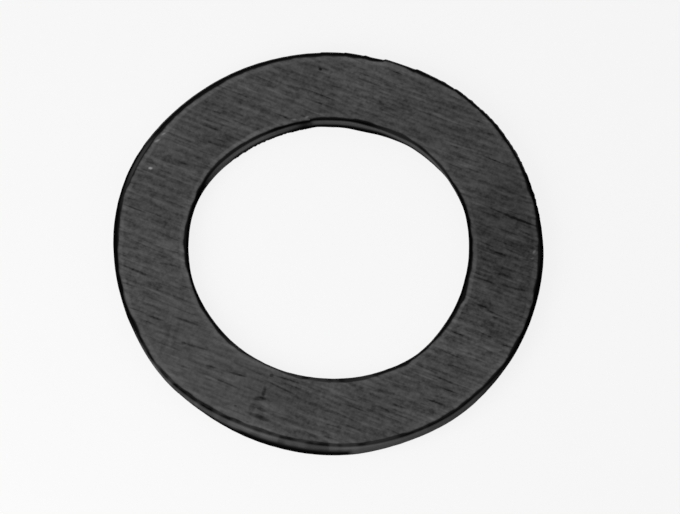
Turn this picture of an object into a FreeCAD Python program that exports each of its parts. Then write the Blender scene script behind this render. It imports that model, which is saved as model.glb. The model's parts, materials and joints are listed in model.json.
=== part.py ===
import FreeCAD, Part
import math
import os

import Sketcher

# Flat rubber sealing ring, moulded in one piece, in millimetres.
# Its section is a low rectangle: two flat sealing faces, a straight bore wall and a straight
# outer wall, with a small radius on each of the four edges where a wall meets a face.
# It lies on its back face. Z is the ring's axis, and the origin is the middle of the back face.

# Each driving size: its name, its value and what it measures. The ring is 60 mm across outside.
SIZES = [
    ("bore_diameter", 40.0, "across the bore wall"),
    ("ring_width", 10.0, "from the bore wall to the outer wall"),
    ("ring_thickness", 3.0, "from the back face to the front face"),
    ("outer_edge_radius", 0.5, "on both edges of the outer wall"),
    ("bore_edge_radius", 0.4, "on both edges of the bore wall"),
]
EDGE_SHARE_LIMIT = 0.45  # an edge radius takes at most this share of the thickness
FULL_TURN = 360.0
QUARTER_TURN = math.pi / 2

# Names for what a sketch constraint counts by number.
START, END = 1, 2
SKETCH_ORIGIN = (-1, 1)
HORIZONTAL_AXIS = -1


def add_size_sheet(doc):
    """The sheet of driving sizes, one row each, with the size's name as its alias."""
    sheet = doc.addObject("Spreadsheet::Sheet", "sizes")
    for row, (name, value, meaning) in enumerate(SIZES, start=1):
        sheet.set(f"A{row}", name)
        sheet.set(f"B{row}", str(value))
        sheet.set(f"C{row}", meaning)
        sheet.setAlias(f"B{row}", name)
    doc.recompute()
    return sheet


def origin_plane(body, role):
    """One of the body's own base planes, found by its role."""
    return next(plane for plane in body.Origin.OriginFeatures if plane.Role == role)


def add_line(sketch, start, end):
    """A straight side between two (x, y) points."""
    return sketch.addGeometry(Part.LineSegment(FreeCAD.Vector(*start), FreeCAD.Vector(*end)), False)


def add_corner(sketch, centre, radius, quarter):
    """A quarter arc about (x, y) that starts after that many quarter turns from +x."""
    circle = Part.Circle(FreeCAD.Vector(*centre), FreeCAD.Vector(0, 0, 1), radius)
    start = quarter * QUARTER_TURN
    return sketch.addGeometry(Part.ArcOfCircle(circle, start, start + QUARTER_TURN), False)


def draw_section(sketch, sheet):
    """The sides and corners of the section, anticlockwise from the back face, as name to index."""
    bore = sheet.bore_diameter / 2
    outer = bore + sheet.ring_width
    top = sheet.ring_thickness
    inner_edge = sheet.bore_edge_radius
    outer_edge = sheet.outer_edge_radius
    part = {
        "back": add_line(sketch, (bore + inner_edge, 0), (outer - outer_edge, 0)),
        "outer_back": add_corner(sketch, (outer - outer_edge, outer_edge), outer_edge, 3),
        "outer_wall": add_line(sketch, (outer, outer_edge), (outer, top - outer_edge)),
        "outer_front": add_corner(sketch, (outer - outer_edge, top - outer_edge), outer_edge, 0),
        "front": add_line(sketch, (outer - outer_edge, top), (bore + inner_edge, top)),
        "bore_front": add_corner(sketch, (bore + inner_edge, top - inner_edge), inner_edge, 1),
        "bore_wall": add_line(sketch, (bore, top - inner_edge), (bore, inner_edge)),
        "bore_back": add_corner(sketch, (bore + inner_edge, inner_edge), inner_edge, 2),
    }
    turn = list(part.values())
    for this, following in zip(turn, turn[1:] + turn[:1]):
        sketch.addConstraint(Sketcher.Constraint("Tangent", this, END, following, START))
    return part


def drive(sketch, name, expression, kind, *where):
    """Adds a dimension at its present value, names it and binds it to the sheet."""
    index = sketch.addConstraint(Sketcher.Constraint(kind, *where))
    sketch.renameConstraint(index, name)
    sketch.setExpression(f"Constraints.{name}", expression)


def add_section(body, sheet):
    """The ring's section beside its axis: sketch x is the radius, sketch y the height."""
    sketch = body.newObject("Sketcher::SketchObject", "ring_section")
    sketch.AttachmentSupport = (origin_plane(body, "XZ_Plane"), [""])
    sketch.MapMode = "FlatFace"
    part = draw_section(sketch, sheet)
    back, front = part["back"], part["front"]
    bore_wall, outer_wall = part["bore_wall"], part["outer_wall"]
    sketch.addConstraint([
        Sketcher.Constraint("Horizontal", back),
        Sketcher.Constraint("Horizontal", front),
        Sketcher.Constraint("Vertical", bore_wall),
        Sketcher.Constraint("Vertical", outer_wall),
        Sketcher.Constraint("PointOnObject", back, START, HORIZONTAL_AXIS),
        Sketcher.Constraint("Equal", part["bore_back"], part["bore_front"]),
        Sketcher.Constraint("Equal", part["outer_back"], part["outer_front"]),
    ])
    edge_limit = f"{EDGE_SHARE_LIMIT} * sizes.ring_thickness"
    drive(sketch, "bore_radius", "sizes.bore_diameter / 2",
          "DistanceX", *SKETCH_ORIGIN, bore_wall, START, sheet.bore_diameter / 2)
    drive(sketch, "width", "sizes.ring_width",
          "DistanceX", bore_wall, START, outer_wall, START, sheet.ring_width)
    drive(sketch, "thickness", "sizes.ring_thickness",
          "DistanceY", *SKETCH_ORIGIN, front, START, sheet.ring_thickness)
    drive(sketch, "bore_edge", f"min(sizes.bore_edge_radius; {edge_limit})",
          "Radius", part["bore_front"], sheet.bore_edge_radius)
    drive(sketch, "outer_edge", f"min(sizes.outer_edge_radius; {edge_limit})",
          "Radius", part["outer_front"], sheet.outer_edge_radius)
    return sketch


def add_sealing_ring(doc, sheet):
    """The whole ring: its section turned once round the axis."""
    body = doc.addObject("PartDesign::Body", "sealing_ring")
    body.Label = "sealing_ring"
    section = add_section(body, sheet)
    turned = body.newObject("PartDesign::Revolution", "turned_section")
    turned.Profile = section
    turned.ReferenceAxis = (section, ["V_Axis"])
    turned.Angle = FULL_TURN
    section.Visibility = False
    return body


def check_document(doc):
    """Stops at any feature that failed to compute and at a section that is free to move."""
    for item in doc.Objects:
        if {"Invalid", "Error"} & set(item.State):
            raise RuntimeError(f"{item.Label} did not compute: {item.State}")
        if item.TypeId == "Sketcher::SketchObject" and not item.FullyConstrained:
            raise RuntimeError(f"{item.Label} is not fully constrained")


def check_solid(node):
    """Stops unless the node is one valid closed solid."""
    shape = node.Shape
    if shape.isNull() or not shape.isValid() or len(shape.Solids) != 1:
        raise RuntimeError(f"{node.Label} is not one valid solid")


def write_node(node):
    """Writes the node's solid and prints its size."""
    node.Shape.exportStep(f"parts/{node.Label}.step")
    box = node.Shape.optimalBoundingBox()
    size = f"{box.XLength:.2f} x {box.YLength:.2f} x {box.ZLength:.2f} mm"
    print(f"{node.Label}: {size}, {node.Shape.Volume:.1f} mm3")


def main():
    doc = FreeCAD.newDocument("flat_sealing_ring")
    sheet = add_size_sheet(doc)
    sealing_ring = add_sealing_ring(doc, sheet)
    doc.recompute()
    check_document(doc)
    check_solid(sealing_ring)
    os.makedirs("parts", exist_ok=True)
    write_node(sealing_ring)


main()
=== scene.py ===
import bmesh
import bpy
import json
import math
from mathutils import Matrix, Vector


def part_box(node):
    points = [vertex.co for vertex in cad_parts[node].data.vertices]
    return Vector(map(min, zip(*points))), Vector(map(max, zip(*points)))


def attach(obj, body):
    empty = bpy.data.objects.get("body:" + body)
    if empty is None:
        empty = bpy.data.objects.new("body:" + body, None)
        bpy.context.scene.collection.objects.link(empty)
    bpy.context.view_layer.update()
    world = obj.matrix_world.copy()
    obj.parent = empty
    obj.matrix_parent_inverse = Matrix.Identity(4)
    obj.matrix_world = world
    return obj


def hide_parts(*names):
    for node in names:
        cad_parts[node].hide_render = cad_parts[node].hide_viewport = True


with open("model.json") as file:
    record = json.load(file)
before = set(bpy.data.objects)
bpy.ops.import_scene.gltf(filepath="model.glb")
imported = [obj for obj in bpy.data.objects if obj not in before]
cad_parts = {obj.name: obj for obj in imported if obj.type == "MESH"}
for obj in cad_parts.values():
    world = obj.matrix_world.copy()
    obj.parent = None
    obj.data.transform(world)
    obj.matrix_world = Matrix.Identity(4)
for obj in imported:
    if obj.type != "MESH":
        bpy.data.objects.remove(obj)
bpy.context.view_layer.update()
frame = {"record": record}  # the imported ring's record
print("frame loaded")


def metres(millimetres):
    return millimetres / 1000


def fitRadius(mountName):
    # the radius of one of the ring's two fit surfaces
    mount = next(m for m in frame["record"]["mounts"] if m["name"] == mountName)
    return metres(mount["dims"]["r_mm"])


# The ring's shape, in metres. Here and below, angles run from +X towards +Y, in degrees.
ring = {
    "outerRadius": fitRadius("outer_wall"),
    "boreRadius": fitRadius("bore"),
    "thickness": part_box("sealing_ring")[1].z,
    "outerEdge": 0.0005,  # the rounding where the outer wall meets a face
    "boreEdge": 0.0004,
    "wallsFrom": 0.0045,  # how far from the face's middle what counts as a wall begins
    "edgeFacets": 8,
    "frontCuts": 39,
    "backCuts": 17,
    "wallCuts": 7,
    "turnSteps": 720,
}
middleRadius = (ring["outerRadius"] + ring["boreRadius"]) / 2


def pick(kind, test):
    # selects what passes the test in the mesh that is open for editing, and nothing else
    mesh = bmesh.from_edit_mesh(bpy.context.edit_object.data)
    bpy.ops.mesh.select_mode(type={"verts": "VERT", "edges": "EDGE"}[kind])
    bpy.ops.mesh.select_all(action="DESELECT")
    for item in getattr(mesh, kind):
        if test(item):
            item.select_set(True)
    mesh.select_flush_mode()
    bmesh.update_edit_mesh(bpy.context.edit_object.data)


def addSection():
    # one flat rectangle, as wide and as tall as the ring's section, standing beside the axis
    bpy.ops.object.select_all(action="DESELECT")
    width = ring["outerRadius"] - ring["boreRadius"]
    place = (middleRadius, 0, ring["thickness"] / 2)
    bpy.ops.mesh.primitive_plane_add(size=1, location=place, rotation=(math.pi / 2, 0, 0))
    piece = bpy.context.object
    piece.name = "groundSealingRing"
    piece.scale = (width, ring["thickness"], 1)
    bpy.ops.object.transform_apply(location=True, rotation=True, scale=True)
    return piece


def isLong(edge):
    # true of the section's straight sides and not of the facets of its rounded corners
    return edge.calc_length() > 2 * ring["outerEdge"]


def shapeSection():
    # rounds the section's corners, keeps its outline and cuts the long sides into short ones
    pick("verts", lambda v: v.co.x > middleRadius)
    bpy.ops.mesh.bevel(offset=ring["outerEdge"], segments=ring["edgeFacets"], affect="VERTICES")
    pick("verts", lambda v: v.co.x < ring["boreRadius"] + ring["boreEdge"] / 2)
    bpy.ops.mesh.bevel(offset=ring["boreEdge"], segments=ring["edgeFacets"], affect="VERTICES")
    bpy.ops.mesh.select_all(action="SELECT")
    bpy.ops.mesh.delete(type="ONLY_FACE")
    halfway = ring["thickness"] / 2
    pick("edges", lambda e: isLong(e) and min(v.co.z for v in e.verts) > halfway)
    bpy.ops.mesh.subdivide(number_cuts=ring["frontCuts"])
    pick("edges", lambda e: isLong(e) and max(v.co.z for v in e.verts) < halfway)
    bpy.ops.mesh.subdivide(number_cuts=ring["backCuts"])
    pick("edges", isLong)
    bpy.ops.mesh.subdivide(number_cuts=ring["wallCuts"])


def turnSection():
    # spins the outline through an eighth of a turn, then doubles that until the ring is closed
    eighth = math.tau / 8
    steps = ring["turnSteps"] // 8
    bpy.ops.mesh.select_all(action="SELECT")
    bpy.ops.mesh.spin(steps=steps, angle=eighth, center=(0, 0, 0), axis=(0, 0, 1))
    for turn in (eighth, 2 * eighth, 4 * eighth):
        bpy.ops.mesh.select_all(action="SELECT")
        bpy.ops.mesh.duplicate()
        bpy.ops.transform.rotate(value=turn, orient_axis="Z", center_override=(0, 0, 0))
    bpy.ops.mesh.select_all(action="SELECT")
    bpy.ops.mesh.remove_doubles(threshold=1e-6)
    bpy.ops.mesh.normals_make_consistent(inside=False)


def radiusOf(place):
    return math.hypot(place.x, place.y)


def angleOf(place):
    return math.degrees(math.atan2(place.y, place.x)) % 360


def angleBetween(first, second):
    return abs((first - second + 180) % 360 - 180)


def outwards(angle):
    return Vector((math.cos(math.radians(angle)), math.sin(math.radians(angle)), 0))


def pastEdge(place):
    # how far a point of the true round ring lies past its face's edge, in millimetres, along the
    # surface: below 0 on the flat face, above 0 on the rounding and the wall
    radius = radiusOf(place)
    outside = radius > middleRadius
    edge = ring["outerEdge"] if outside else ring["boreEdge"]
    inward = ring["outerRadius"] - radius if outside else radius - ring["boreRadius"]
    drop = min(place.z, ring["thickness"] - place.z)
    if inward >= edge:
        way = edge - inward
    elif drop >= edge:
        way = edge * math.pi / 2 + drop - edge
    else:
        way = edge * math.atan2(edge - inward, edge - drop)
    return way * 1000


def noteEdgeDistance(piece):
    # keeps that distance on every vertex, so that the finish follows the edges wherever they move
    noted = piece.data.attributes.new("pastEdge", "FLOAT", "POINT")
    noted.data.foreach_set("value", [pastEdge(v.co) for v in piece.data.vertices])


# How far the soft ring has settled out of its true shape, in millimetres. Lobes are pulled out
# and pushed in by turns, all the way round.
settled = {
    "ringLobes": {"count": 3, "start": 46, "out": 0.2, "reach": 26},
    "boreLobes": {"count": 4, "start": 45, "out": 0.12, "reach": 9.5},
    "boreOut": -0.36,  # the bore has closed up a little
    "boreAside": (0, -0.36),
    "boreReach": 10,
}

# Places that were pulled out or pushed in: the wall, its angle, how far outwards, the reach.
pulls = [
    ("outer", 20, -0.16, 12),
    ("outer", 74, -0.18, 9),
    ("outer", 81, -0.08, 5),
    ("outer", 135, -0.1, 12),
    ("outer", 200, -0.12, 9),
    ("outer", 212, -0.1, 6),
    ("outer", 226, 0.1, 6),
    ("outer", 280, 0.26, 12),
    ("outer", 310, 0.28, 12),
    ("outer", 345, 0.08, 12),
    ("outer", 359, 0.1, 6),
    ("bore", 10, 0.2, 8),
    ("bore", 40, -0.25, 8),
    ("bore", 200, 0.06, 8),
    ("bore", 218, -0.08, 8),
    ("bore", 278, -0.08, 8),
    ("bore", 310, 0.14, 6),
]


def onWall(wall, place):
    if wall == "outer":
        return radiusOf(place) > middleRadius + ring["wallsFrom"]
    return radiusOf(place) < middleRadius - ring["wallsFrom"]


def surroundings(reach):
    # makes an operator take along what lies around, less and less up to a reach in millimetres
    return {
        "use_proportional_edit": True,
        "proportional_edit_falloff": "SMOOTH",
        "proportional_size": metres(reach),
    }


def pullRing(chosen, angle, out, reach):
    # draws one place of the ring outwards, and its surroundings with it, in millimetres
    near = 0.6 * 360 / ring["turnSteps"]  # over half a step, so that one row is always found
    pick("verts", lambda v: angleBetween(angleOf(v.co), angle) <= near and chosen(v.co))
    bpy.ops.transform.translate(value=metres(outwards(angle) * out), **surroundings(reach))


def pullLobes(chosen, count, start, out, reach):
    for step in range(2 * count):
        pullRing(chosen, start + step * 180 / count, out if step % 2 == 0 else -out, reach)


def settleRing():
    # takes the ring out of round, closes its bore a little and moves the bore aside
    pullLobes(lambda place: True, **settled["ringLobes"])
    share = 1 + metres(settled["boreOut"]) / ring["boreRadius"]
    aside = metres(Vector((*settled["boreAside"], 0)))
    around = surroundings(settled["boreReach"])
    pick("verts", lambda v: onWall("bore", v.co))
    bpy.ops.transform.resize(value=(share, share, 1), center_override=(0, 0, 0), **around)
    bpy.ops.transform.translate(value=aside, **around)
    pullLobes(lambda place: onWall("bore", place), **settled["boreLobes"])
    for wall, angle, out, reach in pulls:
        pullRing(lambda place: onWall(wall, place), angle, out, reach)


def fade(value, start, full):
    # 0 before start, 1 from full on, smooth between them; start may be the larger of the two
    share = min(max((value - start) / (full - start), 0), 1)
    return share * share * (3 - 2 * share)


def window(value, low, high, soft):
    # 1 between low and high, fading out beyond both ends
    return fade(value, low - soft, low) * fade(value, high + soft, high)


def displace(piece, share, strength, **settings):
    # pushes the surface by a modifier, as much as each place's share says
    weights = [(vertex.index, share(vertex.co)) for vertex in piece.data.vertices]
    weights = [(index, weight) for index, weight in weights if weight > 0]
    for direction, amount in strength.items():
        group = piece.vertex_groups.new(name="share")
        for index, weight in weights:
            group.add([index], weight, "REPLACE")
        change = piece.modifiers.new("push", "DISPLACE")
        change.direction = direction
        change.strength = metres(amount)
        change.vertex_group = group.name
        for name, value in settings.items():
            setattr(change, name, value)
        bpy.context.view_layer.update()
        bpy.ops.object.modifier_apply(modifier=change.name)
        piece.vertex_groups.clear()


def pushOut(piece, share, angle, out):
    # moves what the share marks outwards, in millimetres
    way = outwards(angle) * out
    displace(piece, share, {"X": way.x, "Y": way.y}, mid_level=0)


# Stretches of wall that lean: the wall, its end, the angle, how far round that is felt to each
# side, and how far outwards the end leans in millimetres.
leans = [
    ("outer", "top", 170, 30, 0.13),
    ("outer", "top", 220, 30, 0.77),
    ("outer", "top", 239, 18, 0.24),
    ("outer", "top", 290, 30, 0.3),
    ("outer", "top", 310, 30, 0.3),
    ("outer", "top", 330, 18, 0.5),
    ("outer", "foot", 158, 12, 0.3),
    ("outer", "foot", 260, 30, 0.3),
    ("bore", "foot", 35, 30, 0.9),
    ("bore", "foot", 60, 18, 0.35),
    ("bore", "foot", 80, 9, -0.12),
    ("bore", "foot", 90, 30, 0.28),
    ("bore", "foot", 98, 6, 0.12),
    ("bore", "foot", 110, 30, 0.05),
    ("bore", "foot", 130, 30, -0.08),
    ("bore", "foot", 160, 30, 0.32),
    ("bore", "top", 65, 24, -0.14),
    ("bore", "top", 108, 32, -0.2),
    ("bore", "top", 130, 22, -0.12),
]

# The radii, in metres, where a wall's lean begins in the face and where it is felt in full.
leanRadii = {"outer": (0.026, 0.0295), "bore": (0.024, 0.0205)}


def leanWalls(piece):
    for wall, end, angle, width, out in leans:
        def share(place):
            height = place.z / ring["thickness"]
            leaning = height if end == "top" else 1 - height
            near = fade(angleBetween(angleOf(place), angle), width, 0)
            return near * leaning * fade(radiusOf(place), *leanRadii[wall])
        pushOut(piece, share, angle, out)


# Steps in the outer edge, where the knife was set on again: the angle, where the step has died
# away, and how far it stands out in millimetres.
steps = [
    (95.5, 92, 0.07),
    (89, 86.2, 0.08),
    (83.6, 82, 0.12),
    (78, 70.5, 0.18),
    (69, 64, 0.13),
    (57, 53, 0.08),
    (43, 40, 0.06),
]
stepRadii = (0.0285, 0.0294)  # where a step begins in the face and where it is full, in metres

# The step in the bore's top edge: its angle, how far round it dies away, how far outwards in
# millimetres, and the heights and radii in metres where it begins and where it is full.
boreStep = {
    "angle": 101.5,
    "width": 16,
    "out": 0.16,
    "heights": (0.0012, 0.0024),
    "radii": (0.0215, 0.0206),
}


def stepOuterEdge(piece):
    # at each step the edge stands out and then runs slowly back
    for angle, end, out in steps:
        def share(place):
            way = (angle - angleOf(place)) / (angle - end)
            return (1 - way) * fade(radiusOf(place), *stepRadii) if 0 <= way < 1 else 0
        pushOut(piece, share, (angle + end) / 2, out)


def stepBoreEdge(piece):
    def share(place):
        way = (boreStep["angle"] - angleOf(place)) / boreStep["width"]
        if not 0 < way <= 1:
            return 0
        height = fade(place.z, *boreStep["heights"])
        return fade(way, 1, 0) * height * fade(radiusOf(place), *boreStep["radii"])
    pushOut(piece, share, boreStep["angle"], boreStep["out"])


# How uneven the surfaces are: the pattern's size and the amount in millimetres, how many times
# longer the pattern is drawn out along X, Y and Z, and how much each place has of it. The angles
# in these shares are degrees, the radii and heights metres.
unevenness = {
    "raggedOuterEdge": {
        "size": 0.45,
        "amount": 0.24,
        "stretch": (1, 1, 12),
        "share": lambda p: window(angleOf(p), 16, 58, 8) * fade(radiusOf(p), 0.029, 0.0296),
    },
    "raggedBoreFoot": {
        "size": 0.22,
        "amount": 0.3,
        "stretch": (1, 1, 4),
        "share": lambda p: (window(angleOf(p), 104, 136, 4) * fade(radiusOf(p), 0.0208, 0.0203)
                            * fade(p.z, 0.0016, 0.0006)),
    },
    "wavyWalls": {
        "size": 1.4,
        "amount": 0.06,
        "stretch": (1, 1, 3),
        "share": lambda p: fade(abs(radiusOf(p) - middleRadius), 0.0042, 0.0046),
    },
    "wavyFace": {
        "size": 4.5,
        "amount": 0.05,
        "stretch": (1, 1, 1),
        "share": lambda p: fade(p.z, 0.0024, 0.003),
    },
}


def roughen(piece, name, size, amount, stretch, share):
    # pushes the surface in and out by a cloud pattern
    bpy.ops.object.empty_add(location=(0, 0, 0))
    guide = bpy.context.object
    guide.scale = stretch
    bpy.context.view_layer.objects.active = piece
    bpy.context.view_layer.update()
    clouds = bpy.data.textures.new(name, "CLOUDS")
    clouds.noise_scale = metres(size)
    displace(piece, share, {"NORMAL": amount},
             texture=clouds, texture_coords="OBJECT", texture_coords_object=guide)
    bpy.data.objects.remove(guide)


def flattenFoot():
    # what the roughening pushed below the floor lies flat again
    pick("verts", lambda v: v.co.z < 0)
    bpy.ops.transform.resize(value=(1, 1, 0), center_override=(0, 0, 0))


def makeRing():
    piece = addSection()
    bpy.ops.object.mode_set(mode="EDIT")
    shapeSection()
    turnSection()
    bpy.ops.object.mode_set(mode="OBJECT")
    noteEdgeDistance(piece)
    bpy.ops.object.mode_set(mode="EDIT")
    settleRing()
    bpy.ops.object.mode_set(mode="OBJECT")
    leanWalls(piece)
    stepOuterEdge(piece)
    stepBoreEdge(piece)
    for name, detail in unevenness.items():
        roughen(piece, name, **detail)
    bpy.ops.object.mode_set(mode="EDIT")
    flattenFoot()
    bpy.ops.object.mode_set(mode="OBJECT")
    bpy.ops.object.select_all(action="DESELECT")
    piece.select_set(True)
    bpy.ops.object.shade_smooth()
    return piece


# The rubber's finish. Tones are linear greys, lengths and sizes millimetres, turns degrees.
rubber = {
    "roughness": 0.6,
    "faceShine": 0.05,
    "wallShine": 0.0,
    "faceTone": 0.061,
    "wallTone": 0.058,
    # the black of the rounded edges, and of the walls where they are left black, is painted shade
    "edgeShadeTone": 0.002,
    # the grey of painted light where it lifts the edge's painted shade
    "litEdgeTone": 0.013,
    "grainTurn": -18.8,
    "grainFloor": 0.12,  # no streak or mark gets darker than this share of the face's tone
    "scratchBand": (0.66, 0.84),  # only the peaks of its pattern are a scratch
    "reliefDepth": 0.03,
    "reliefStrength": 0.4,
    "mottleSize": (9, 9, 9),
    "mottleContrast": 0.22,
    "cutSize": (6, 6, 0.3),  # the pattern that the knife left on the walls
    "cutContrast": 0.8,
    "frontWall": (-0.42, -0.64),  # where the walls turn grey as painted light, as Y over the radius; facing the sides they stay black as painted shade
    "backWall": (0.38, 0.54),
    "paleLine": 0.3,  # how much paler the face is just inside its edges
    "lineWobble": 0.3,  # how far the black line of painted shade varies in width
    "wobbleSize": (1.6, 1.6, 6),
}

# Where what lies along the edges begins and where it is full, in millimetres past the face's
# edge, as the pastEdge attribute counts them.
edgeBands = {
    # face: where the face gives way to the black line of painted shade
    "face": (-0.1, -0.35),
    "wall": (0.1, 0.45),
    "paleLineInside": (-1.0, -0.65),
    "paleLineOutside": (-0.2, -0.45),
    "doubleLineInside": (-0.34, -0.18),
    "doubleLineOutside": (0.24, 0.06),
}

# The face's grain, one layer a row: length, width and contrast.
grain = [
    (8.0, 0.56, 0.66),
    (3.5, 0.44, 0.73),
    (1.5, 0.35, 0.5),
    (1.3, 1.3, 0.2),
    (0.55, 0.55, 0.72),
    (0.3, 0.3, 0.5),
]

# Sparse scratches along the grain: length, width, turn, how dark or, below 0, how pale.
scratches = [
    (9.0, 0.5, -1, 0.45),
    (5.0, 0.45, 1, -0.35),
    (2.5, 0.35, 2, 0.35),
]

# Where the grain is deeper, or, below 0, shallower: x, y, size, how much.
grainDepths = [
    (24, -4, 36, 0.28),
    (-16, -19, 36, -0.3),
]

# Where the black line of painted shade along the edges reaches further into the face, or, below
# 0,
# less far: x, y, size, how far.
lineShifts = [
    (-24, -19, 14, -0.1),
    (-12, 15, 14, -0.22),
    (-5.5, 19.5, 7, -0.1),
    (-21, 21, 26, 0.1),
    (-25, 14, 7, 0.12),
    (-27.5, 10.5, 9, 0.14),
    (7.8, 29, 7, -0.3),
    (20, 20, 30, -0.12),
    (29, -9, 11, -0.3),
    (29, 8, 8, -0.12),
    (27, -14, 6, 0.05),
    (-29, -8, 14, -0.33),
    (19.5, 3.5, 12, -0.2),
    (19.1, -5.5, 5, 0.14),
    (-7.5, -18.5, 10, -0.3),
    (3, -20, 9, 0.12),
    (-19.5, 4.5, 6, -0.12),
    (-19, -7, 6, -0.12),
    (-20, 0, 5, 0.12),
    (17.5, -9, 9, 0.05),
    (14, -14.5, 8, -0.2),
]

# Where the pale line beside it is stronger, or, below 0, weaker: x, y, size, how much.
paleShifts = [
    (-20, 22, 30, 0.25),
    (20, -5, 22, 0.5),
    (16, -11, 8, -0.3),
    (3, -19.5, 12, -0.2),
    (2, -29, 32, -0.2),
    (3, 30, 24, 0.25),
    (-13, 14, 14, 0.3),
]

# Where the black line of painted shade reaches further down the wall: x, y, size, how far.
deepLines = [
    (-12, 16, 18, 0.2),
    (7, 19, 12, 0.2),
]

# Painted light on the front of the outer wall's upper edge, which is grey there as if lit. The
# bands are in metres, from where it begins to where it is full, and the patches make it come and
# go.
litFrontEdge = {
    "yBand": (-0.012, -0.02),
    "xBand": (0.022, 0.0),
    "rightShare": 0.1,  # how much is left of it at the right
    "zBand": (0.0016, 0.0023),  # holds for the other lit places and the double lines too
    "patchSize": (1.2, 1.2, 6),
    "patchBand": (0.3, 0.7),
    "patchShares": (0.2, 1.8),
}

# Where else painted light lifts the black edge's painted shade to grey, or, below 0, it is black
# after all: x, y, size, how much.
edgeLightPlaces = [
    (-19.7, -22.9, 3, -1.2),
    (-15.3, -25.7, 4, -1.2),
    (-14, 14, 14, 0.6),
    (9, 17.5, 10, 0.9),
    (14.5, 13.5, 7, 1.0),
]

# Where the line is black on both sides with a painted highlight between: x, y, size, how grey.
highlightDoubleLines = [
    (-27.5, 11.2, 11, 2.2),
    (-29.3, 5.5, 5, 0.6),
]

# The painted shadow at the foot of the outer wall's front and of the bore wall's back: black up
# to one height, gone at another, from where to where along X, how softly they end, how dark.
footShadowLines = {
    "outer": [
        (1.1, 2.9, -11.0, 4.7, 0.6, 1.0),
        (0.9, 2.0, -17.0, -9.0, 2.0, 1.0),
        (0.5, 1.0, 4.7, 8.0, 1.0, 0.6),
    ],
    "bore": [
        (1.2, 2.3, -7.0, 8.0, 2.0, 0.95),
        (1.05, 1.6, -15.0, 14.0, 1.5, 0.85),
    ],
}
footSides = {"outer": -1, "bore": 1}  # the front is below 0 along Y
footBand = (0.01, 0.013)  # how far from the middle along Y a foot shadow begins and is full, metres

# Dark places on the walls, or, below 0, pale ones: x, y, size, how dark.
wallMarks = [
    (25.5, -17.5, 14, 0.75),
    (-2, -31, 16, 0.38),
    (-19, -24, 30, 0.3),
    (-13, 15, 12, -0.4),
    (-5.2, 19.3, 5, 0.45),
    (-4.7, 19.3, 3.4, 1.0),
]

# Broad patches on the front face, darker, or, below 0, paler, partly painted shade, most of all
# the darker right side, and partly the rubber's uneven tone: x, y, the sizes along X and Y, how
# dark.
shadeAndTonePatches = [
    (27, 0, 26, 38, 0.33),
    (3, 25.5, 16, 12, -0.2),
    (8, -25, 14, 14, 0.14),
    (-24, 4, 12, 12, 0.1),
    (-1, -25, 22, 12, 0.1),
    (-17, -17, 16, 16, -0.06),
    (-19, 15, 14, 14, 0.08),
]

# Marks on the front face: the middle's x and y, the turn, the length, the width and how dark,
# or, below 0, how pale.
marks = [
    (-7.8, -22.6, 80, 2.4, 0.8, 0.62),
    (-8.3, -23.7, 2, 2.6, 0.9, 0.7),
    (-7.6, -24.5, -19, 1.8, 0.7, -0.47),
    (-6.3, -24.7, -30, 1.4, 0.6, -0.31),
    (-9.3, -25.1, 74, 2.8, 1.3, 0.31),
    (-8.0, -25.3, -21, 2.0, 0.7, 0.47),
    (-7.2, -25.9, -20, 2.2, 0.5, -0.31),
    (-8.4, -26.4, -19, 4.6, 1.0, 0.55),
    (-5.5, -21.9, -24, 6.5, 0.45, 0.55),
    (-6.9, -20.1, 10, 0.8, 0.7, 0.6),
    (-5.0, -20.5, -16, 6.0, 0.4, 0.5),
    (-11.6, -20.3, -14, 3.2, 0.45, 0.8),
    (-11.6, -25.0, -10, 0.6, 0.35, 0.6),
    (-15.5, -19.4, -12, 2.2, 0.6, 0.45),
    (-17.7, -16.5, -14, 4.6, 0.5, 0.45),
    (-19.4, -16.1, 0, 1.0, 0.7, 0.5),
    (-21.9, -15.6, 77, 8.0, 1.0, 0.2),
    (-20.6, -15.0, 79, 6.0, 0.8, 0.15),
    (-23.5, -12.6, -14, 3.2, 0.6, 0.5),
    (-19.0, -12.8, -17, 5.0, 0.5, 0.4),
    (23.8, -1.6, -18, 8.0, 0.55, 0.35),
    (22.6, -2.8, -18, 6.0, 0.55, 0.3),
    (26.6, -4.9, -10, 6.0, 0.5, 0.4),
    (21.6, -7.7, -19, 7.0, 0.5, 0.35),
    (27.0, 3.8, -27, 5.0, 0.5, 0.35),
    (-9.8, -27.3, 0, 0.6, 0.5, 0.39),
    (-25.7, 10.1, 0, 0.8, 0.55, -3.5),
    (-2.8, 26.9, 0, 0.7, 0.6, 1.1),
    (28.6, 0.9, 60, 0.9, 0.45, -1.6),
    (28.4, -0.1, 20, 0.7, 0.35, -1.3),
    (-25.0, 14.4, 35, 1.2, 0.4, -1.5),
    (-24.2, 15.5, 35, 0.9, 0.35, -1.3),
    (-4.3, 19.4, 20, 0.8, 0.5, -1.2),
    (-6.1, 18.9, 10, 1.2, 0.4, -0.9),
]

markDepth = 0.001  # how far below the front face a mark has faded out, in metres
anyHeight = 0.1  # a depth so large that a spot is as strong at every height of the ring
spotBand = (0.0, 0.7)  # where a spot begins and is full, from 0 at its rim to 1 in its middle


def newFinish(name, roughness, specular):
    material = bpy.data.materials.new(name)
    material.use_nodes = True
    shader = material.node_tree.nodes["Principled BSDF"]
    shader.inputs["Roughness"].default_value = roughness
    shader.inputs["Specular IOR Level"].default_value = specular
    return material, shader


def addNode(tree, kind, *numbered, **named):
    # adds a node and feeds its inputs, in order or by name: a value, or another node's output
    made = tree.nodes.new("ShaderNode" + kind)
    for key, value in [*enumerate(numbered), *named.items()]:
        if isinstance(value, bpy.types.NodeSocket):
            tree.links.new(value, made.inputs[key])
        else:
            made.inputs[key].default_value = value
    return made


def maths(tree, operation, *numbers):
    made = addNode(tree, "Math", *numbers)
    made.operation = operation
    return made.outputs[0]


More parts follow.
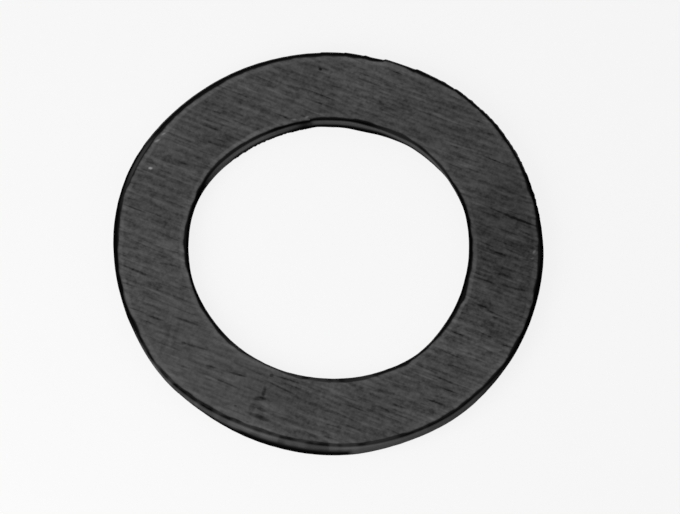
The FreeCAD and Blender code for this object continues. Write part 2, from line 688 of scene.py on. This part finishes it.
def product(tree, first, *others):
    for other in others:
        first = maths(tree, "MULTIPLY", first, other)
    return first


def addShare(tree, share, amount, total):
    # the total with as much of the amount as the share says
    return maths(tree, "MULTIPLY_ADD", share, amount, total)


def ramp(tree, value, start, full, low=0.0, high=1.0):
    # low before start, high from full on, smooth between them; start may be the larger one
    if start > full:
        start, full, low, high = full, start, high, low
    made = addNode(tree, "MapRange", value, start, full, low, high)
    made.interpolation_type = "SMOOTHSTEP"
    return made.outputs[0]


def ownPlace(tree):
    return addNode(tree, "TexCoord").outputs["Object"]


def edgeDistance(tree):
    made = addNode(tree, "Attribute")
    made.attribute_name = "pastEdge"
    return made.outputs["Fac"]


def noise(tree, place, turn, size, detail=0.0):
    # a cloud pattern, drawn out to a size in millimetres along its own turned axes
    along = addNode(tree, "Mapping", place)
    along.vector_type = "TEXTURE"
    along.inputs["Rotation"].default_value[2] = math.radians(turn)
    along.inputs["Scale"].default_value = [metres(length) for length in size]
    return addNode(tree, "TexNoise", along.outputs[0], Scale=1.0, Detail=detail).outputs[0]


def clouded(tree, place, size, contrast):
    # about 1, higher and lower by a cloud pattern
    return addShare(tree, noise(tree, place, 0, size, 1.0), contrast, 1 - contrast / 2)


def spot(tree, place, x, y, turn, length, width, depth=markDepth):
    # 1 in the middle of a mark on the front face, falling to 0 at its rim and at its depth
    along = addNode(tree, "Mapping", place)
    along.vector_type = "TEXTURE"
    along.inputs["Location"].default_value = (metres(x), metres(y), ring["thickness"])
    along.inputs["Rotation"].default_value[2] = math.radians(turn)
    along.inputs["Scale"].default_value = (metres(length / 2), metres(width / 2), depth)
    made = addNode(tree, "TexGradient", along.outputs[0])
    made.gradient_type = "SPHERICAL"
    return ramp(tree, made.outputs["Fac"], *spotBand)


def spread(tree, place, rows, start):
    # a value that is changed around several places, whatever the height
    total = start
    for x, y, size, amount in rows:
        total = addShare(tree, spot(tree, place, x, y, 0, size, size, anyHeight), amount, total)
    return total


def shadeLineDistance(tree, place):
    # the distance past the face's edge, changed where the black line of painted shade is wider or
    # narrower
    past = maths(tree, "ADD", edgeDistance(tree), spread(tree, place, lineShifts, 0.0))
    wobble = maths(tree, "SUBTRACT", noise(tree, place, 0, rubber["wobbleSize"]), 0.5)
    return addShare(tree, wobble, rubber["lineWobble"], past)


def edgeShadeAndLight(tree, place):
    # the tone of the edge: black as painted shade, but grey where painted light lifts it
    sides = addNode(tree, "SeparateXYZ", place).outputs
    patchy = noise(tree, place, 0, litFrontEdge["patchSize"])
    edgeLight = product(
        tree,
        ramp(tree, sides["Y"], *litFrontEdge["yBand"]),
        ramp(tree, sides["X"], *litFrontEdge["xBand"], litFrontEdge["rightShare"], 1.0),
        ramp(tree, patchy, *litFrontEdge["patchBand"], *litFrontEdge["patchShares"]),
    )
    edgeLight = maths(tree, "ADD", edgeLight, spread(tree, place, edgeLightPlaces, 0.0))
    edgeLight = maths(tree, "MAXIMUM", edgeLight, 0.0)
    past = edgeDistance(tree)
    between = product(
        tree,
        ramp(tree, past, *edgeBands["doubleLineInside"]),
        ramp(tree, past, *edgeBands["doubleLineOutside"]),
    )
    edgeLight = addShare(tree, between, spread(tree, place, highlightDoubleLines, 0.0), edgeLight)
    edgeLight = product(tree, edgeLight, ramp(tree, sides["Z"], *litFrontEdge["zBand"]))
    return addShare(tree, edgeLight, rubber["litEdgeTone"], rubber["edgeShadeTone"])


def groundHeight(tree, place):
    # how high the ground face is, about 1: fine streaks, all one way, a few deeper scratches, and
    # the marks
    turn = rubber["grainTurn"]
    height = 1.0 - sum(contrast for length, width, contrast in grain) / 2
    for length, width, contrast in grain:
        streaks = noise(tree, place, turn, (length, width, width))
        height = addShare(tree, streaks, contrast, height)
    for length, width, aside, depth in scratches:
        peaks = noise(tree, place, turn + aside, (length, width, width))
        height = addShare(tree, ramp(tree, peaks, *rubber["scratchBand"]), -depth, height)
    deeper = spread(tree, place, grainDepths, 1.0)
    height = addShare(tree, maths(tree, "SUBTRACT", height, 1.0), deeper, 1.0)
    for x, y, angle, length, width, depth in marks:
        height = addShare(tree, spot(tree, place, x, y, angle, length, width), -depth, height)
    return maths(tree, "MAXIMUM", height, rubber["grainFloor"])


def addFaceFinish():
    # both faces were ground flat; a pale line and a black line of painted shade run along their
    # edges
    material, shader = newFinish("groundFaceRubber", rubber["roughness"], rubber["faceShine"])
    tree = material.node_tree
    place = ownPlace(tree)
    height = groundHeight(tree, place)
    mottleAndShade = clouded(tree, place, rubber["mottleSize"], rubber["mottleContrast"])
    # the patches add painted shade, darkest at the right, to the rubber's uneven tone
    for x, y, length, width, depth in shadeAndTonePatches:
        mottleAndShade = addShare(tree, spot(tree, place, x, y, 0, length, width), -depth, mottleAndShade)
    past = shadeLineDistance(tree, place)
    pale = product(
        tree,
        ramp(tree, past, *edgeBands["paleLineInside"]),
        ramp(tree, past, *edgeBands["paleLineOutside"]),
        spread(tree, place, paleShifts, rubber["paleLine"]),
    )
    onFace = ramp(tree, past, *edgeBands["face"])
    shade = product(tree, maths(tree, "ADD", pale, height), mottleAndShade, onFace, rubber["faceTone"])
    tone = maths(tree, "MAXIMUM", shade, edgeShadeAndLight(tree, place))
    tree.links.new(tone, shader.inputs["Base Color"])
    bump = addNode(tree, "Bump", Height=height, Distance=metres(rubber["reliefDepth"]),
                   Strength=rubber["reliefStrength"])
    tree.links.new(bump.outputs[0], shader.inputs["Normal"])
    return material


def aboveFootShadow(tree, sides, side, low, high, left, right, soft, dark):
    # 1 above a painted foot shadow and less on it
    black = product(
        tree,
        ramp(tree, sides["X"], metres(left - soft), metres(left + soft)),
        ramp(tree, sides["X"], metres(right + soft), metres(right - soft)),
        ramp(tree, sides["Y"], *[side * far for far in footBand]),
        ramp(tree, sides["Z"], metres(high), metres(low)),
    )
    return addShare(tree, black, -dark, 1.0)


def litWallFacing(tree, place):
    # the parts of the walls that face the front or the back, painted grey as lit; where they face
    # the sides they are left black as painted shade
    sides = addNode(tree, "SeparateXYZ", place).outputs
    fromMiddle = addNode(tree, "VectorMath", place)
    fromMiddle.operation = "LENGTH"
    facing = maths(tree, "DIVIDE", sides["Y"], fromMiddle.outputs["Value"])
    front = ramp(tree, facing, *rubber["frontWall"])
    back = ramp(tree, facing, *rubber["backWall"])
    return maths(tree, "MAXIMUM", front, back)


def addWallFinish():
    # the walls were cut and left grey; they are painted black as shade where they face the sides,
    # with a black line of painted shade along each edge and a painted shadow at the foot
    material, shader = newFinish("cutWallRubber", rubber["roughness"], rubber["wallShine"])
    tree = material.node_tree
    place = ownPlace(tree)
    sides = addNode(tree, "SeparateXYZ", place).outputs
    cut = clouded(tree, place, rubber["cutSize"], rubber["cutContrast"])
    above = maths(tree, "SUBTRACT", edgeDistance(tree), spread(tree, place, deepLines, 0.0))
    grey = product(tree, litWallFacing(tree, place), cut, ramp(tree, above, *edgeBands["wall"]))
    for wall, rows in footShadowLines.items():
        for row in rows:
            grey = product(tree, grey, aboveFootShadow(tree, sides, footSides[wall], *row))
    for x, y, size, dark in wallMarks:
        mark = spot(tree, place, x, y, 0, size, size, anyHeight)
        grey = product(tree, grey, addShare(tree, mark, -dark, 1.0))
    tone = addShare(tree, grey, rubber["wallTone"], edgeShadeAndLight(tree, place))
    onFace = ramp(tree, shadeLineDistance(tree, place), *edgeBands["face"])
    face = product(tree, onFace, rubber["faceTone"])  # where the face rounds over into the wall
    tree.links.new(maths(tree, "MAXIMUM", tone, face), shader.inputs["Base Color"])
    return material


def finishRing(piece):
    piece.data.materials.append(addFaceFinish())
    piece.data.materials.append(addWallFinish())
    noted = piece.data.attributes["pastEdge"].data
    for face in piece.data.polygons:
        past = sum(noted[index].value for index in face.vertices) / len(face.vertices)
        face.material_index = 0 if past < 0 else 1


# The photograph's view of the ring, and a long lens, because the photograph has next to no
# perspective. Degrees, metres, and millimetres for the lens and the sensor.
view = {
    "elevation": 66.68,
    "roll": 3.49,
    "distance": 1.05,
    "target": (0.00156, -0.00038, 0),
    "lens": 397.2,
    "sensor": 36,
    "nearest": 0.01,
    "farthest": 20,
}


def addCamera():
    tilt = math.radians(view["elevation"])
    back = Vector((0, -math.cos(tilt), math.sin(tilt)))
    bpy.ops.object.camera_add(location=Vector(view["target"]) + back * view["distance"])
    camera = bpy.context.object
    camera.rotation_mode = "ZYX"
    camera.rotation_euler = (math.pi / 2 - tilt, 0, math.radians(view["roll"]))
    camera.data.lens = view["lens"]
    camera.data.sensor_width = view["sensor"]
    camera.data.clip_start = view["nearest"]
    camera.data.clip_end = view["farthest"]
    bpy.context.scene.camera = camera


# The studio: a pale floor, an even sky and one soft lamp at the left. Lengths are metres.
studio = {
    "backdropTone": 0.93,
    "skyLevel": 0.45,
    "floorSize": 12,
    "floorDrop": 0.00001,
    "shownTone": 0.943,  # what the camera sees of the floor, apart from its lit share
    "litShare": 0.1,  # how much of the floor's light and shadow is seen
    "lampPlace": (-0.11, -0.1, 0.12),
    "lampSize": 0.15,
    "lampPower": 0.3,
}


def seenDirectly(tree):
    # 1 for the rays that show the backdrop itself, to the camera or in a reflection
    rays = addNode(tree, "LightPath").outputs
    either = maths(tree, "MAXIMUM", rays["Is Camera Ray"], rays["Is Glossy Ray"])
    return maths(tree, "MAXIMUM", either, rays["Is Transmission Ray"])


def plainColour(tone):
    return (tone, tone, tone, 1)


def addFloor():
    place = (0, 0, -studio["floorDrop"])
    bpy.ops.mesh.primitive_plane_add(size=studio["floorSize"], location=place)
    floor = bpy.context.object
    floor.name = "paleFloor"
    material = bpy.data.materials.new("palePaper")
    material.use_nodes = True
    tree = material.node_tree
    tree.nodes.remove(tree.nodes["Principled BSDF"])
    paper = addNode(tree, "BsdfDiffuse", Color=plainColour(studio["backdropTone"]))
    shown = addNode(tree, "Emission", Color=plainColour(studio["shownTone"]))
    share = product(tree, seenDirectly(tree), 1 - studio["litShare"])
    mix = addNode(tree, "MixShader", share, paper.outputs[0], shown.outputs[0])
    tree.links.new(mix.outputs[0], tree.nodes["Material Output"].inputs["Surface"])
    floor.data.materials.append(material)


def addSky():
    world = bpy.data.worlds.new("evenSky")
    world.use_nodes = True
    bpy.context.scene.world = world
    tree = world.node_tree
    light = tree.nodes["Background"]
    light.inputs["Strength"].default_value = studio["skyLevel"]
    light.inputs["Color"].default_value = plainColour(1)
    shown = addNode(tree, "Background", Color=plainColour(studio["backdropTone"]))
    mix = addNode(tree, "MixShader", seenDirectly(tree), light.outputs[0], shown.outputs[0])
    tree.links.new(mix.outputs[0], tree.nodes["World Output"].inputs["Surface"])


def addLamp():
    place = Vector(studio["lampPlace"])
    bpy.ops.object.light_add(type="AREA", location=place)
    lamp = bpy.context.object
    lamp.name = "leftSoftbox"
    lamp.rotation_euler = place.to_track_quat("Z", "Y").to_euler()
    lamp.data.size = studio["lampSize"]
    lamp.data.energy = studio["lampPower"]


ringPiece = makeRing()
print("ring modelled:", len(ringPiece.data.polygons), "faces")
finishRing(ringPiece)
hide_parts("sealing_ring")
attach(ringPiece, "root")
print("ring finished")
addCamera()
addFloor()
addSky()
addLamp()
bpy.context.scene.view_settings.view_transform = "Standard"
print("studio set")
